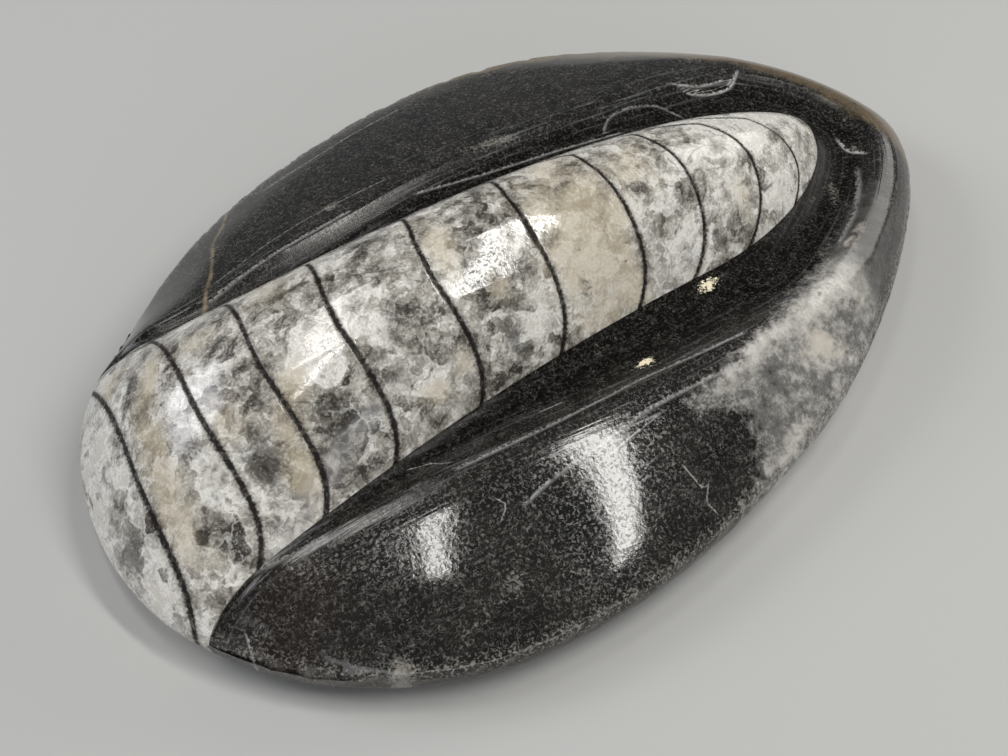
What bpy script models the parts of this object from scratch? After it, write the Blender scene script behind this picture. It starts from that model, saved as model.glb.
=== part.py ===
"""A polished orthoceras: a straight-shelled fossil standing out of its black limestone matrix.

The stone is a leaf-shaped freeform that lies on its flat sawn base. The fossil runs along +X,
from its wide end, which the stone's edge cuts off, to its blunt apex. Both solids are spheres
wrapped onto their own shape: the stone by its rim outline, the fossil by its sutures, which are
the lines where the chamber walls meet the polished surface.

Shapes are worked out in millimetres in the fossil's own frame: x along the shell, y across it
and z up from the floor of the channel beside it. place() moves them to the part's frame.
"""

import math

import bmesh
import bpy
import numpy as np
from mathutils import Vector

MM = 0.001
COLLECTION = "orthoceras_fossil"
CUTTERS = "cutters"

# the stone
RIM_OUTLINE = (
    (-42.0, -5.0), (-39.2, -14.5), (-31.7, -24.2), (-19.6, -31.1), (-6.0, -32.9),
    (8.0, -31.2), (23.8, -26.5), (37.5, -18.9), (49.4, -9.3), (54.8, -2.0),
    (55.6, 5.0), (51.3, 15.5), (42.5, 25.2), (29.2, 33.2), (14.2, 36.1),
    (-2.0, 34.3), (-16.2, 29.6), (-27.8, 22.2), (-37.2, 14.0), (-41.2, 5.0),
)
BASE_Z = -12.0          # the flat base, below the channel floor
RIM_Z = -6.4            # height of the rim at x = y = 0
RIM_RISE_X = 0.01       # the rim climbs a little towards the apex
RIM_RISE_Y = 0.03       # and towards the far side
BASE_INSET = 4.0        # how far the rounded wall tucks in below the rim
SHOULDER = 2.2          # rounding of whatever runs out over the rim: its height 1 mm in
SHOULDER_POWER = 0.75   # and how fast it climbs from there
SHOULDER_BLEND = 4.0    # the crest melts into it over this height
RIM_LIP = 0.5           # the wing meets the rim this far above it
ENVELOPE_CLEAR = 0.3    # the body that trims the shell stands this far above its rounded end

# the channel ground along the shell, and the wing beyond its ridge
CHANNEL_SAG = 2.2       # the channel floor drops this far, 38 mm from its middle
CHANNEL_MIDDLE = 2.0
CHANNEL_HALF = 38.0
CHANNEL_NARROW = 0.9    # channel width at the wide end of the shell
CHANNEL_WIDE = 8.8      # and at the apex
CHANNEL_OPENS = (-36.0, 16.0)   # it widens between these places along the shell
CHANNEL_SHARE = 0.6     # and takes at most this share of the way to the rim
CHANNEL_DIP = 0.6
RIDGE_RISE = 0.9
CHANNEL_FULL = 4.0      # dip and rise are less where the channel is narrower than this
WING_CURVE = 1.5        # how late the wing turns down, at the wide end
WING_CURVE_MORE = 1.2   # and how much later at the apex end
WING_CHANGES = (20.0, 50.0)

# the shell
HALF_WIDTH = 10.6
TAPER = 0.095
TAPER_CURVE = 0.0012
CREST = 11.6
CREST_SLOPE = 0.025
CREST_CURVE = 0.0051
ARCH_POWER = 2.39       # 2 is a round arch, more is fuller at the shoulders
NOSE_START = 22.0
NOSE_WIDTH_POWER = 1.8  # how bluntly the nose ends, seen from above
NOSE_HEIGHT_POWER = 2.2 # and seen from the side
APEX = 45.4
APEX_BEND = 3.8         # the apex leans this far to the far side
WIDE_END = -47.0        # past the rim, which trims the shell there
# each suture: where it crosses the crest, how it leans, how it bows, and the share of the
# half width at which it turns back on the far side
SUTURES = (
    (-37.0, 0.9, 0.0, 0.90), (-30.2, 1.3, -2.1, 0.85), (-23.7, 1.8, -3.4, 0.62),
    (-16.0, 2.4, -4.2, 0.52), (-6.4, 2.6, -4.7, 0.43), (3.7, 0.8, -2.4, 0.37),
    (13.0, -1.6, -0.4, 0.25), (21.0, -3.2, 2.1, 0.27), (28.6, -6.8, 5.6, 0.13),
    (34.8, -6.5, 3.1, 0.08),
)
NEAR_HOOK = 2.5         # the sutures turn back by this at the near edge
NEAR_HOOK_POWER = 9
LEVEL_SHARE = 0.35      # lean and bow fade out from the crest to this share of the half width
LEVEL_BLEND = 0.3
FAR_BACK = 5.5          # how far a suture turns back on the far side
FAR_TURN = 0.18         # within this share of the half width
GROOVE_HALF = 0.35
GROOVE_DEPTH = 0.25
GAP = 0.3               # between the shell and the bed it lies in

# how finely the solids are faceted
OUTLINE_STEPS = 12      # points on the rim between two outline points
EDGE_STEPS = 30         # points on the straight part of the shell's edge, and on its nose
STONE_SEGMENTS = 96
TOP_RINGS = 15
WALL_RINGS = 6
BASE_RINGS = 2
RIM_CROWDING = 0.5      # share of the top rings that crowd towards the rim
REACH_SAMPLES = 80      # places tried for those rings between the middle and the rim
SHELL_SEGMENTS = 44
END_RINGS = 5           # rings between the wide end and the first suture
CHAMBER_RINGS = 1       # rings between two sutures
NOSE_RINGS = 5          # rings between the last suture and the apex
NOSE_CROWDING = 0.6     # they crowd towards the apex, where the nose turns down
SMOOTH_ANGLE = math.radians(35.0)


def smooth_step(low, high, value):
    """0 below low, 1 above high, and a smooth rise between."""
    t = np.clip((value - low) / (high - low), 0.0, 1.0)
    return t * t * (3.0 - 2.0 * t)


def closed_curve(points, steps):
    """A closed Catmull-Rom curve through the points."""
    points = np.array(points, float)
    t = np.linspace(0.0, 1.0, steps, endpoint=False)[:, None]
    runs = []
    for i in range(len(points)):
        a, b, c, d = (points[(i + k) % len(points)] for k in (-1, 0, 1, 2))
        runs.append(b + 0.5 * t * (c - a + t * (2 * a - 5 * b + 4 * c - d + t * (3 * (b - c) + d - a))))
    return np.concatenate(runs)


RIM = closed_curve(RIM_OUTLINE, OUTLINE_STEPS)
MIDDLE = (RIM.min(axis=0) + RIM.max(axis=0)) / 2.0
RIM_TURNS = np.arctan2(RIM[:, 1] - MIDDLE[1], RIM[:, 0] - MIDDLE[0])
RIM_REACHES = np.linalg.norm(RIM - MIDDLE, axis=1)


def place(x, y, z):
    """A point of the fossil's frame in the part's own frame, in metres."""
    return Vector((x - MIDDLE[0], y - MIDDLE[1], z - BASE_Z)) * MM


def rim_reach(turn):
    """How far the rim is from the middle of the stone, in the direction turn."""
    return float(np.interp(turn, RIM_TURNS, RIM_REACHES, period=math.tau))


def distance_to(loop, x, y):
    """Distance from one point to a closed line."""
    here = np.array((x, y))
    step = np.roll(loop, -1, axis=0) - loop
    along = np.clip(((here - loop) * step).sum(axis=1) / (step * step).sum(axis=1), 0.0, 1.0)
    return float(np.linalg.norm(here - loop - step * along[:, None], axis=1).min())


def rim_height(x, y):
    return RIM_Z + RIM_RISE_X * x + RIM_RISE_Y * y


def channel_floor(x):
    return -CHANNEL_SAG * ((x - CHANNEL_MIDDLE) / CHANNEL_HALF) ** 2


def nose(x):
    """0 along the straight shell, rising to 1 at the apex."""
    return float(np.clip((x - NOSE_START) / (APEX - NOSE_START), 0.0, 1.0))


def shell_axis(x):
    return APEX_BEND * nose(x) ** 2


def shell_half_width(x):
    width = HALF_WIDTH - TAPER * x + TAPER_CURVE * x * x
    return width * math.sqrt(1.0 - nose(x) ** NOSE_WIDTH_POWER)


def shell_height(x):
    """Height of the crest above the channel floor."""
    crest = CREST + CREST_SLOPE * x - CREST_CURVE * x * x
    return (crest - channel_floor(x)) * math.sqrt(1.0 - nose(x) ** NOSE_HEIGHT_POWER)


def shell_edge():
    """The closed line where the shell meets the channel, seen from above."""
    straight = np.linspace(WIDE_END, NOSE_START, EDGE_STEPS)
    xs = np.concatenate((straight, np.linspace(NOSE_START, APEX, EDGE_STEPS)[1:]))
    near = [(x, shell_axis(x) - shell_half_width(x)) for x in xs]
    far = [(x, shell_axis(x) + shell_half_width(x)) for x in xs[-2::-1]]
    return np.array(near + far)


SHELL_EDGE = shell_edge()


def in_shell(x, y):
    return x < APEX and abs(y - shell_axis(x)) < shell_half_width(x)


def channel_width(x):
    return CHANNEL_NARROW + (CHANNEL_WIDE - CHANNEL_NARROW) * smooth_step(*CHANNEL_OPENS, x)


def ground_share(x, y):
    """0 under the shell, up to 1 across the channel and on to 2 across the wing."""
    if in_shell(x, y):
        return 0.0
    from_shell = distance_to(SHELL_EDGE, x, y)
    way = from_shell + distance_to(RIM, x, y)
    width = min(channel_width(x), CHANNEL_SHARE * way)
    if from_shell < width:
        return from_shell / width
    return 1.0 + (from_shell - width) / (way - width)


def ground_height(x, y):
    """The polished limestone beside the shell: a channel, its ridge and a convex wing."""
    floor = channel_floor(x)
    share = ground_share(x, y)
    relief = min(channel_width(x) / CHANNEL_FULL, 1.0)
    if share < 1.0:
        return floor + relief * (RIDGE_RISE * share ** 2 - 4.0 * CHANNEL_DIP * share * (1.0 - share))
    curve = WING_CURVE + WING_CURVE_MORE * smooth_step(*WING_CHANGES, x)
    ridge = floor + relief * RIDGE_RISE
    lip = rim_height(x, y) + RIM_LIP
    return ridge + (lip - ridge) * (share - 1.0) ** curve


def shoulder_height(x, y):
    """The surface that rounds off whatever reaches the rim; past the rim it falls away."""
    inside = math.hypot(x - MIDDLE[0], y - MIDDLE[1]) < rim_reach(math.atan2(y - MIDDLE[1], x - MIDDLE[0]))
    climb = SHOULDER * distance_to(RIM, x, y) ** SHOULDER_POWER
    return rim_height(x, y) + (climb if inside else -climb)


def melt(a, b, height):
    """The lower of two heights, with the corner between them rounded off."""
    share = max(height - abs(a - b), 0.0) / height
    return min(a, b) - share * share * height / 4.0


def stone_top(x, y):
    return min(ground_height(x, y), shoulder_height(x, y))


def suture(number, u):
    """Where a suture lies along the shell, at u from -1 at the near edge to 1 at the far edge."""
    crossing, lean, bow, turn = SUTURES[number]
    level = melt(u, LEVEL_SHARE, LEVEL_BLEND)
    hook = NEAR_HOOK * max(-u, 0.0) ** NEAR_HOOK_POWER
    back = FAR_BACK * (1.0 - math.exp(-((max(u - turn, 0.0) / FAR_TURN) ** 2)))
    return crossing + lean * level - bow * level * level - hook - back


def shell_rings():
    """Each ring of the shell as (function of u that gives x, depth of the groove there)."""
    lines = [lambda u: WIDE_END]
    lines += [lambda u, n=n: suture(n, u) for n in range(len(SUTURES))]
    lines += [lambda u: APEX]
    rings = [(lines[0], 0.0)]
    for n in range(len(lines) - 1):
        low, high = lines[n], lines[n + 1]
        at_nose = n == len(lines) - 2
        count = NOSE_RINGS if at_nose else CHAMBER_RINGS
        if n == 0:
            count = END_RINGS
        for i in range(1, count + 1):
            share = (i / (count + 1)) ** (NOSE_CROWDING if at_nose else 1.0)
            rings.append((lambda u, a=low, b=high, s=share: a(u) + s * (b(u) - a(u)), 0.0))
        if not at_nose:
            for side, depth in ((-GROOVE_HALF, 0.0), (0.0, GROOVE_DEPTH), (GROOVE_HALF, 0.0)):
                rings.append((lambda u, b=high, s=side: b(u) + s, depth))
    return rings


def wrap_sphere(name, segments, ring_count, where):
    """A sphere whose every vertex goes where(turn, ring) says; rings count from the first pole."""
    bpy.ops.mesh.primitive_uv_sphere_add(segments=segments, ring_count=ring_count, radius=1.0)
    obj = bpy.context.object
    obj.name = name
    obj.data.name = name
    shape = bmesh.new()
    shape.from_mesh(obj.data)
    for v in shape.verts:
        ring = round((1.0 - math.acos(max(-1.0, min(1.0, v.co.z))) / math.pi) * ring_count)
        v.co = where(math.atan2(v.co.y, v.co.x), ring)
    bmesh.ops.recalc_face_normals(shape, faces=shape.faces)
    shape.to_mesh(obj.data)
    shape.free()
    return obj


def top_reaches(turn):
    """How far out each top ring lies in one direction: even steps across channel and wing."""
    rim = rim_reach(turn)
    reaches = np.linspace(0.0, 1.0, REACH_SAMPLES)
    steps = RIM_CROWDING * np.arcsin(reaches) / math.asin(1.0)
    for i, reach in enumerate(reaches * rim):
        x, y = MIDDLE + reach * np.array((math.cos(turn), math.sin(turn)))
        steps[i] += ground_share(x, y)
    return rim * np.interp(np.linspace(0.0, steps[-1], TOP_RINGS + 1), steps, reaches)


def stone_body(name, top):
    """The whole stone under the given top surface, with its rounded wall and flat base."""
    def where(turn, ring):
        if turn not in reaches:
            reaches[turn] = top_reaches(turn)
        on_base = BASE_RINGS - ring
        on_wall = BASE_RINGS + WALL_RINGS - ring
        if on_base > 0:
            reach = (reaches[turn][-1] - BASE_INSET) * (1.0 - on_base / BASE_RINGS)
            drop = 1.0
        elif on_wall > 0:
            rise = on_wall / WALL_RINGS * math.pi / 2.0
            reach = reaches[turn][-1] - BASE_INSET * (1.0 - math.cos(rise))
            drop = math.sin(rise)
        else:
            reach = reaches[turn][TOP_RINGS + on_wall]
            drop = 0.0
        x, y = MIDDLE + reach * np.array((math.cos(turn), math.sin(turn)))
        if on_wall < 0:
            return place(x, y, top(x, y))
        rim = rim_height(x, y)
        return place(x, y, rim + drop * (BASE_Z - rim))

    reaches = {}
    return wrap_sphere(name, STONE_SEGMENTS, BASE_RINGS + WALL_RINGS + TOP_RINGS, where)


def shell_body(name, grow, polished):
    """The whole conical shell, grown all round by grow.

    The polished one has its sutures' grooves and rounds off where it runs out over the rim.
    """
    rings = shell_rings()

    def where(turn, ring):
        if ring == 0:
            return place(WIDE_END - grow, 0.0, shoulder_height(WIDE_END, 0.0))
        if ring == len(rings) + 1:
            return place(APEX + grow, APEX_BEND, channel_floor(APEX))
        line, depth = rings[ring - 1]
        u = math.cos(turn)
        x = line(u)
        out = grow - (depth if polished else 0.0)
        half = shell_half_width(x) + out
        y = shell_axis(x) + u * half
        floor = channel_floor(x)
        edge = min(floor, shoulder_height(x, shell_axis(x) + math.copysign(half, u)))
        if math.sin(turn) < 0.0:
            return place(x, y, edge + half * math.sin(turn))
        arch = floor + (shell_height(x) + out) * (1.0 - abs(u) ** ARCH_POWER)
        if polished:
            arch = melt(arch, shoulder_height(x, y) + out, SHOULDER_BLEND)
        return place(x, y, max(arch, edge))

    return wrap_sphere(name, SHELL_SEGMENTS, len(rings) + 1, where)


def add_boolean(obj, operation, cutter):
    modifier = obj.modifiers.new(operation.lower(), "BOOLEAN")
    modifier.operation = operation
    modifier.solver = "EXACT"
    modifier.object = cutter


def material(name, colour, roughness):
    made = bpy.data.materials.new(name)
    made.use_nodes = True
    shader = made.node_tree.nodes["Principled BSDF"]
    shader.inputs["Base Color"].default_value = (*colour, 1.0)
    shader.inputs["Roughness"].default_value = roughness
    shader.inputs["Metallic"].default_value = 0.0
    return made


def put_in(collection, obj):
    for other in obj.users_collection:
        other.objects.unlink(obj)
    collection.objects.link(obj)


def new_collection(name):
    made = bpy.data.collections.new(name)
    bpy.context.scene.collection.children.link(made)
    return made


def finish(obj, collection, look):
    """Puts a finished piece in its collection, shades it smooth and gives it its material."""
    put_in(collection, obj)
    obj.data.materials.clear()
    obj.data.materials.append(look)
    obj.data.shade_smooth()
    obj.data.set_sharp_from_angle(angle=SMOOTH_ANGLE)


def hide(cutter, collection):
    put_in(collection, cutter)
    cutter.hide_render = True
    cutter.display_type = "WIRE"


def main():
    for obj in list(bpy.data.objects):
        bpy.data.objects.remove(obj)
    parts = new_collection(COLLECTION)
    cutters = new_collection(CUTTERS)

    matrix = stone_body("limestone_matrix", stone_top)
    bed = shell_body("bed_cutter", GAP, False)
    add_boolean(matrix, "DIFFERENCE", bed)
    finish(matrix, parts, material("black_limestone", (0.018, 0.017, 0.016), 0.18))
    hide(bed, cutters)

    shell = shell_body("orthoceras_shell", 0.0, True)
    envelope = stone_body("envelope_cutter", lambda x, y: shoulder_height(x, y) + ENVELOPE_CLEAR)
    add_boolean(shell, "INTERSECT", envelope)
    finish(shell, parts, material("grey_calcite", (0.52, 0.50, 0.46), 0.22))
    hide(envelope, cutters)


main()
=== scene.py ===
"""The look of a polished orthoceras: a calcite-filled shell standing out of black fossil limestone.

Shapes are worked out in millimetres in the fossil's own frame: x along the shell towards its apex,
y across it and z up from the floor of the channel beside it. place() moves them to metres and to
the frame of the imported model. u is the share of the shell's half width, -1 at its near edge.
"""

import math

import bmesh
import bpy
import numpy as np
from bpy.props import FloatProperty, FloatVectorProperty
from mathutils import Matrix, Vector


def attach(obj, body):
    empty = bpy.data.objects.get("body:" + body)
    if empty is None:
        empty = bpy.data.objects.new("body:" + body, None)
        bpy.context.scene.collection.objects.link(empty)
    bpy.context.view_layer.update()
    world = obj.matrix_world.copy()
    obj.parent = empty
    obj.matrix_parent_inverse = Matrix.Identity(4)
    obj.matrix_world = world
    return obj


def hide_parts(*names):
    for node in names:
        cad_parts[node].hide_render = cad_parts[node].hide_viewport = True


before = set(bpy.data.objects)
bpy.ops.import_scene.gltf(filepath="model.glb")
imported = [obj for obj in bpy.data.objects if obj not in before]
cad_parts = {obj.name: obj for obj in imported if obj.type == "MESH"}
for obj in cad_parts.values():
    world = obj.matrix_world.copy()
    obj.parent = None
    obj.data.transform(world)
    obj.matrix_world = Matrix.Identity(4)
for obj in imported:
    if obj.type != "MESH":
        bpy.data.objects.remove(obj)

bl_info = {
    "name": "Polished orthoceras",
    "version": (1, 0, 0),
    "blender": (4, 5, 0),
    "location": "View3D > Sidebar > Fossil",
    "description": "Builds a polished orthoceras in its black limestone, with its stage",
    "category": "Add Mesh",
}

MM = 0.001

# the kinds of node that come up most
MATH, RANGE, MIX = "ShaderNodeMath", "ShaderNodeMapRange", "ShaderNodeMix"
NOISE, CELLS, RAMP = "ShaderNodeTexNoise", "ShaderNodeTexVoronoi", "ShaderNodeValToRGB"
VECTOR_MATH, STORED = "ShaderNodeVectorMath", "GeometryNodeInputNamedAttribute"

# the stone
RIM_OUTLINE = (
    (-42.0, -5.0), (-39.2, -14.5), (-31.7, -24.2), (-19.6, -31.1), (-6.0, -32.9),
    (8.0, -31.2), (23.8, -26.5), (37.5, -18.9), (49.4, -9.3), (54.8, -2.0),
    (55.6, 5.0), (51.3, 15.5), (42.5, 25.2), (29.2, 33.2), (14.2, 36.1),
    (-2.0, 34.3), (-16.2, 29.6), (-27.8, 22.2), (-37.2, 14.0), (-41.2, 5.0),
)
BASE_Z = -12.0
RIM_Z, RIM_RISE_X, RIM_RISE_Y = -6.4, 0.01, 0.03
BASE_INSET = 4.0
SHOULDER, SHOULDER_POWER, SHOULDER_BLEND = 2.2, 0.75, 4.0
SKIRT_BLENDS, SKIRT_CHANGES = (0.1, 4.5), (-24.0, -34.0)
RIM_LIP = 0.5
ENVELOPE_CLEAR = 0.3

# the channel along the shell, and the wing beyond its ridge
CHANNEL_SAG, CHANNEL_MIDDLE, CHANNEL_HALF = 2.2, 2.0, 38.0
CHANNEL_NARROW, CHANNEL_WIDE, CHANNEL_OPENS = 0.9, 8.8, (-36.0, 16.0)
CHANNEL_SHARE, CHANNEL_FULL = 0.6, 4.0
CHANNEL_DIP, RIDGE_RISE = 0.6, 0.9
WING_CURVE, WING_CURVE_MORE, WING_CHANGES = 1.5, 1.2, (20.0, 50.0)

# the shell
HALF_WIDTH, TAPER, TAPER_CURVE = 10.6, 0.095, 0.0012
CREST, CREST_SLOPE, CREST_CURVE = 11.6, 0.025, 0.0051
ARCH_POWER = 2.39
NOSE_START, NOSE_WIDTH_POWER, NOSE_HEIGHT_POWER = 22.0, 1.8, 2.2
APEX, APEX_BEND = 45.4, 3.8
WIDE_END = -47.0
# each suture: where it crosses the crest, how it leans, how it bows, where it turns back
SUTURES = (
    (-37.0, 2.2, -1.3, 0.95), (-30.2, 1.3, -2.1, 0.85), (-23.7, 1.8, -3.4, 0.62),
    (-16.0, 2.4, -4.2, 0.52), (-6.4, 2.6, -4.7, 0.43), (3.7, 0.8, -2.4, 0.37),
    (13.0, -1.6, -0.4, 0.25), (21.0, -3.2, 2.1, 0.27), (28.6, -6.8, 5.6, 0.13),
    (34.8, -6.5, 3.1, 0.08),
)
NEAR_HOOK, NEAR_HOOK_POWER = 2.5, 9
# how much thinner the sutures get towards the apex, and wider towards the near edge
SEPTUM_SHARES, NEAR_WIDER = (0.55, 1.1), 0.4
LEVEL_SHARE, LEVEL_BLEND = 0.35, 0.3
FAR_BACK, FAR_TURN = 5.5, 0.18
# the flat ground along the near side of the crest: its lower edge climbs towards the wide end
FACET_EDGE, FACET_EDGE_SLOPE, FACET_EDGE_X = -0.57, -0.0113, -1.0
FACET_WIDTH, FACET_FADES = 0.34, (2.0, 14.0)

# how finely the surfaces are drawn
OUTLINE_STEPS = 24
EDGE_STEPS = 60
STONE_SEGMENTS = 480
TOP_RINGS, WALL_RINGS, BASE_RINGS = 72, 14, 3
RIM_CROWDING = 0.5
REACH_SAMPLES = 120
SHELL_TOP_STEPS, SHELL_UNDER_STEPS = 132, 30
END_ROWS, CHAMBER_ROWS, NOSE_ROWS = 44, 20, 60
GROOVE_REACH, GROOVE_ROWS = 0.6, 11
NOSE_CROWDING = 0.6
SHARP = math.radians(40.0)
# the least values that are divided by
LEAST_HALF_WIDTH, LEAST_FACET, LEAST_WAY = 0.01, 0.001, 0.1
SLOPE_STEP = 0.01

# the polish
WAVE_LENGTH, GRAIN_SIZE = 9.0 * MM, 0.5 * MM

# the stage: where the camera stands and looks, and the soft boxes' directions, sizes and shares
VIEW_TURN, VIEW_CLIMB, VIEW_ROLL = math.radians(-31.11), math.radians(50.0), math.radians(-2.05)
VIEW_AIM, VIEW_DISTANCE = (0.0, -4.2, -7.88), 151.3
LENS = 53.57
FLOOR_SIZE = 3.0
# direction of each soft box from the stone, of its long side, its width, length and distance in metres,
# its share of the key light and its colour
SOFT_BOXES = {
    "left_strip": ((-0.09, -0.25, 0.96), (0.085, 0.277, 0.08), 0.022, 0.17, 0.5, 1.0, "#fffdf8"),
    "right_strip": ((0.315, -0.37, 0.865), (-0.05, 0.62, 0.28), 0.04, 0.37, 0.5, 1.0, "#fffdf8"),
    "top_box": ((-0.11, 0.19, 0.98), (1.0, 0.0, 0.0), 0.1, 0.07, 0.5, 0.45, "#fffdf8"),
    "front_box": ((-0.3, -0.88, 0.27), (1.0, 0.0, 0.0), 0.2, 0.8, 0.6, 0.1, "#fbfbff"),
    "end_box": ((-0.6, 0.55, 0.58), (0.0, 0.0, 1.0), 0.26, 0.26, 0.6, 0.26, "#f8f9ff"),
    "tip_box": ((0.9, 0.1, 0.42), (0.0, 1.0, 0.0), 0.35, 0.35, 0.6, 0.11, "#fffdf8"),
}

# where the calcite's colours change, in millimetres along the shell and across its surface from the
# crest: place, half length, half width, turn in degrees and strength
WARM_SPOTS = (
    (-35, -3, 6, 1.3, 80, 0.95), (-32.2, 5.3, 3.4, 0.9, 60, 0.8), (-34.6, 11.5, 2.2, 1.4, 60, 0.6),
    (-25, -12.5, 4.6, 1.3, 85, 1), (-22.8, -6, 1.8, 1.2, 60, 0.8), (-27.5, 5.5, 2.4, 2, 0, 0.4),
    (-35.6, -12, 1.6, 4, 0, 0.45), (-28.7, -5.4, 1.6, 2.2, 0, 0.45), (-4.8, -0.6, 1.6, 3, 0, 0.6),
    (-1.6, -6.8, 1.2, 1.2, 0, 0.5), (-7.2, -10.7, 1, 1, 0, 0.5), (-11.1, -12.2, 1.5, 1, 0, 0.5),
    (8.6, -5.5, 4.2, 8, 0, 1), (11.8, -9.5, 1.4, 4.5, 10, 0.9), (16.8, -1.5, 2.4, 2.2, 0, 0.5),
    (27.4, -7.5, 1.2, 2, 0, 0.5), (-19, 6, 3, 3, 0, 0.4),
)
# pale calcite; the broad spots at the apex and at the wide end also brighten the ends as painted light
PALE_AND_LIT_SPOTS = (
    (-39.6, 2.5, 1.8, 7.5, 0, 1), (-32.3, -8.2, 0.8, 0.4, 20, 1), (-32.4, -0.8, 1.4, 3.2, 0, 0.8),
    (-19.8, -3.6, 2.4, 2.6, 0, 0.6), (25.6, -3.2, 1.7, 0.9, 0, 0.9), (34, -3, 5, 5, 0, 0.7),
    (2, -4.5, 2.6, 2.2, 0, 0.45), (-25.6, -16.5, 2.6, 1.6, 0, 0.4), (19, -5.8, 0.9, 1.4, 20, 0.6),
    (9, -4, 8, 9, 0, 0.4), (32, 0, 12, 9, 0, 1), (-42, 0, 4, 13, 0, 0.9),
)
SMOKE_SPOTS = (
    (-27.4, -10.3, 2, 2.6, 0, 1), (-26.3, 2.4, 1.4, 0.5, 30, 1), (-27.2, -1, 0.8, 1.8, 0, 0.6),
    (-32.5, -4.3, 0.9, 0.9, 0, 0.7), (-40.4, -6, 1.4, 2.4, 0, 0.9), (-31.8, -9, 1.6, 4, 0, 0.35),
    (-21.3, -12.2, 1.6, 2.2, 0, 0.6), (-1.8, -10.8, 0.9, 2.2, 0, 0.9), (-11.6, -4.7, 1.4, 1.2, 0, 0.6),
    (-14.8, -7.3, 1.2, 0.9, 0, 0.5), (-17.3, -10.7, 1.6, 0.5, -30, 0.9), (8.9, -1.1, 1.3, 0.5, 0, 0.8),
    (7.1, -9.6, 0.8, 1.2, 0, 0.6), (15.4, -9.8, 1.3, 2.6, 0, 0.4), (31.1, -6.7, 1, 0.5, 0, 0.9),
    (23.9, -10.1, 0.6, 0.6, 0, 1), (17.2, -2.1, 0.3, 0.3, 0, 1), (-2.3, 0.6, 0.6, 0.4, 0, 0.9),
    (19.2, -10.2, 1, 1.2, 0, 0.45), (-8.5, 3, 1.5, 1, 0, 0.4),
)
# where single crystals show, with pale seams between them
CRYSTAL_SPOTS = (
    (-32, -13.5, 4, 7, 0, 1), (-39, -8, 3, 9, 0, 1), (-18.6, -11, 2.6, 5, 0, 1), (-11.5, -9, 3, 4.5, 0, 1),
    (19.2, -8.6, 1.8, 4, 0, 1), (26.2, -8, 1.6, 3, 0, 0.9), (-1, -9, 2.6, 4, 0, 0.5),
    (10, -9.5, 2, 3, 0, 0.5),
)
# hairline cracks on the calcite: points, width and strength
CRACKS = (
    (((-13, 0.5), (-11.6, -0.2), (-10.4, -0.9), (-9.5, -1.2)), 0.16, 0.9),
    (((-22.2, -7.5), (-20.4, -8.6), (-18.6, -9.4)), 0.14, 0.8),
    (((-20.9, -10.8), (-19.4, -11.8), (-17.8, -12.5)), 0.14, 0.8),
    (((-10, -6.7), (-8.7, -6.9), (-7.5, -6.8)), 0.24, 0.9),
    (((-4.5, -8.8), (-3.8, -9), (-3.1, -9.3)), 0.16, 0.7),
    (((-26.9, 1.9), (-26.2, 2.6), (-25.5, 2.7)), 0.3, 0.9),
    (((-6.9, -6.9), (-5.4, -7.3), (-4.6, -8.4)), 0.12, 0.5),
    (((23.2, -2.6), (24.2, -2.1), (25.8, -1.9), (27.6, -2.6), (28.4, -3.6), (27, -4.3),
      (25, -4.2)), 0.16, 0.6),
    (((30.2, -6.4), (31, -6.9), (32.2, -6.6)), 0.22, 0.8),
    (((31.2, -4.6), (32.2, -4.4), (32.8, -5)), 0.14, 0.6),
    (((24.3, -7), (24, -8.4), (24.4, -9.6), (23.8, -10.6)), 0.16, 0.6),
    (((17.4, -6.6), (16.7, -8), (17.2, -9.6), (17, -11)), 0.16, 0.5),
    (((-30.6, -14), (-29.6, -15.6), (-29.9, -17.2)), 0.14, 0.5),
    (((-37.6, -9), (-36.4, -9.2), (-35.2, -8.8)), 0.12, 0.4),
)

# the same on the limestone, seen from above
SMUDGE_SPOTS = (
    (-25.7, -27.9, 1.3, 1.1, 0, 1), (-13.5, -27.2, 1.8, 1.2, 20, 0.5), (-6.1, 19.4, 0.9, 0.8, 0, 0.8),
    (-32.6, -24, 2.4, 1.2, -40, 0.5), (-35, -19.5, 1.4, 1.4, 0, 0.4), (9.4, -30.5, 0.6, 0.5, 0, 1),
    (13.5, 18.2, 3.6, 0.7, -8, 0.7), (-8, -29.6, 2, 1, 0, 0.35), (41.6, 20, 2, 0.9, 0, 0.5),
    (41, -5.6, 2.6, 0.8, 55, 0.5), (-18.6, -28.6, 2, 0.8, 20, 0.4), (-9.6, 30.5, 2.6, 0.6, 10, 0.4),
    (47.8, -1.4, 0.7, 0.5, 60, 0.9), (-30, -21.3, 0.8, 0.7, 0, 0.5),
)
CREAM_SPOTS = (
    (25.6, -21.8, 3, 1.6, -10, 1), (37, -13.2, 3.2, 1.6, 40, 0.5), (33, -19.4, 1.4, 0.6, 40, 0.7),
)
# where a painted highlight stands for a lamp's glitter on the channel's grinding pits, and where the stone is
# brownish
PAINTED_GLINT_SPOTS = ((20.4, -10.4, 1.9, 0.9, 8, 1), (8.9, -15.6, 1.6, 0.7, 5, 1))
BROWN_SPOTS = ((-31.5, -19.5, 7, 4, 35, 1),)
# the pale calcite in the wing beyond the apex, and where it is whitest
HAZE_PALE_SPOTS = (
    (18.5, -20.2, 5, 0.9, 14, 0.9), (28.5, -18, 4.5, 1.5, 18, 1), (34.5, -15.6, 2.4, 1, 40, 0.6),
    (33.5, -18.6, 2.4, 2.4, 0, 0.7), (25, -22.5, 4, 2, 0, 0.5), (17, -28, 4, 0.8, 20, 0.7),
)
HAZE_OUTLINE = (
    (9.5, -21.6), (18.4, -19.4), (25.4, -16.7), (31.6, -14), (36.3, -11.3), (41.6, -8.4), (45, -7),
    (44.6, -10.4), (39.4, -16.4), (32, -22.6), (24.5, -26.8), (16, -30), (10.5, -31.4), (13.6, -27.5),
    (13.4, -24),
)
HAZE_EDGE, HAZE_FADES = (-2.2, 2.2), (30, 38)
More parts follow.
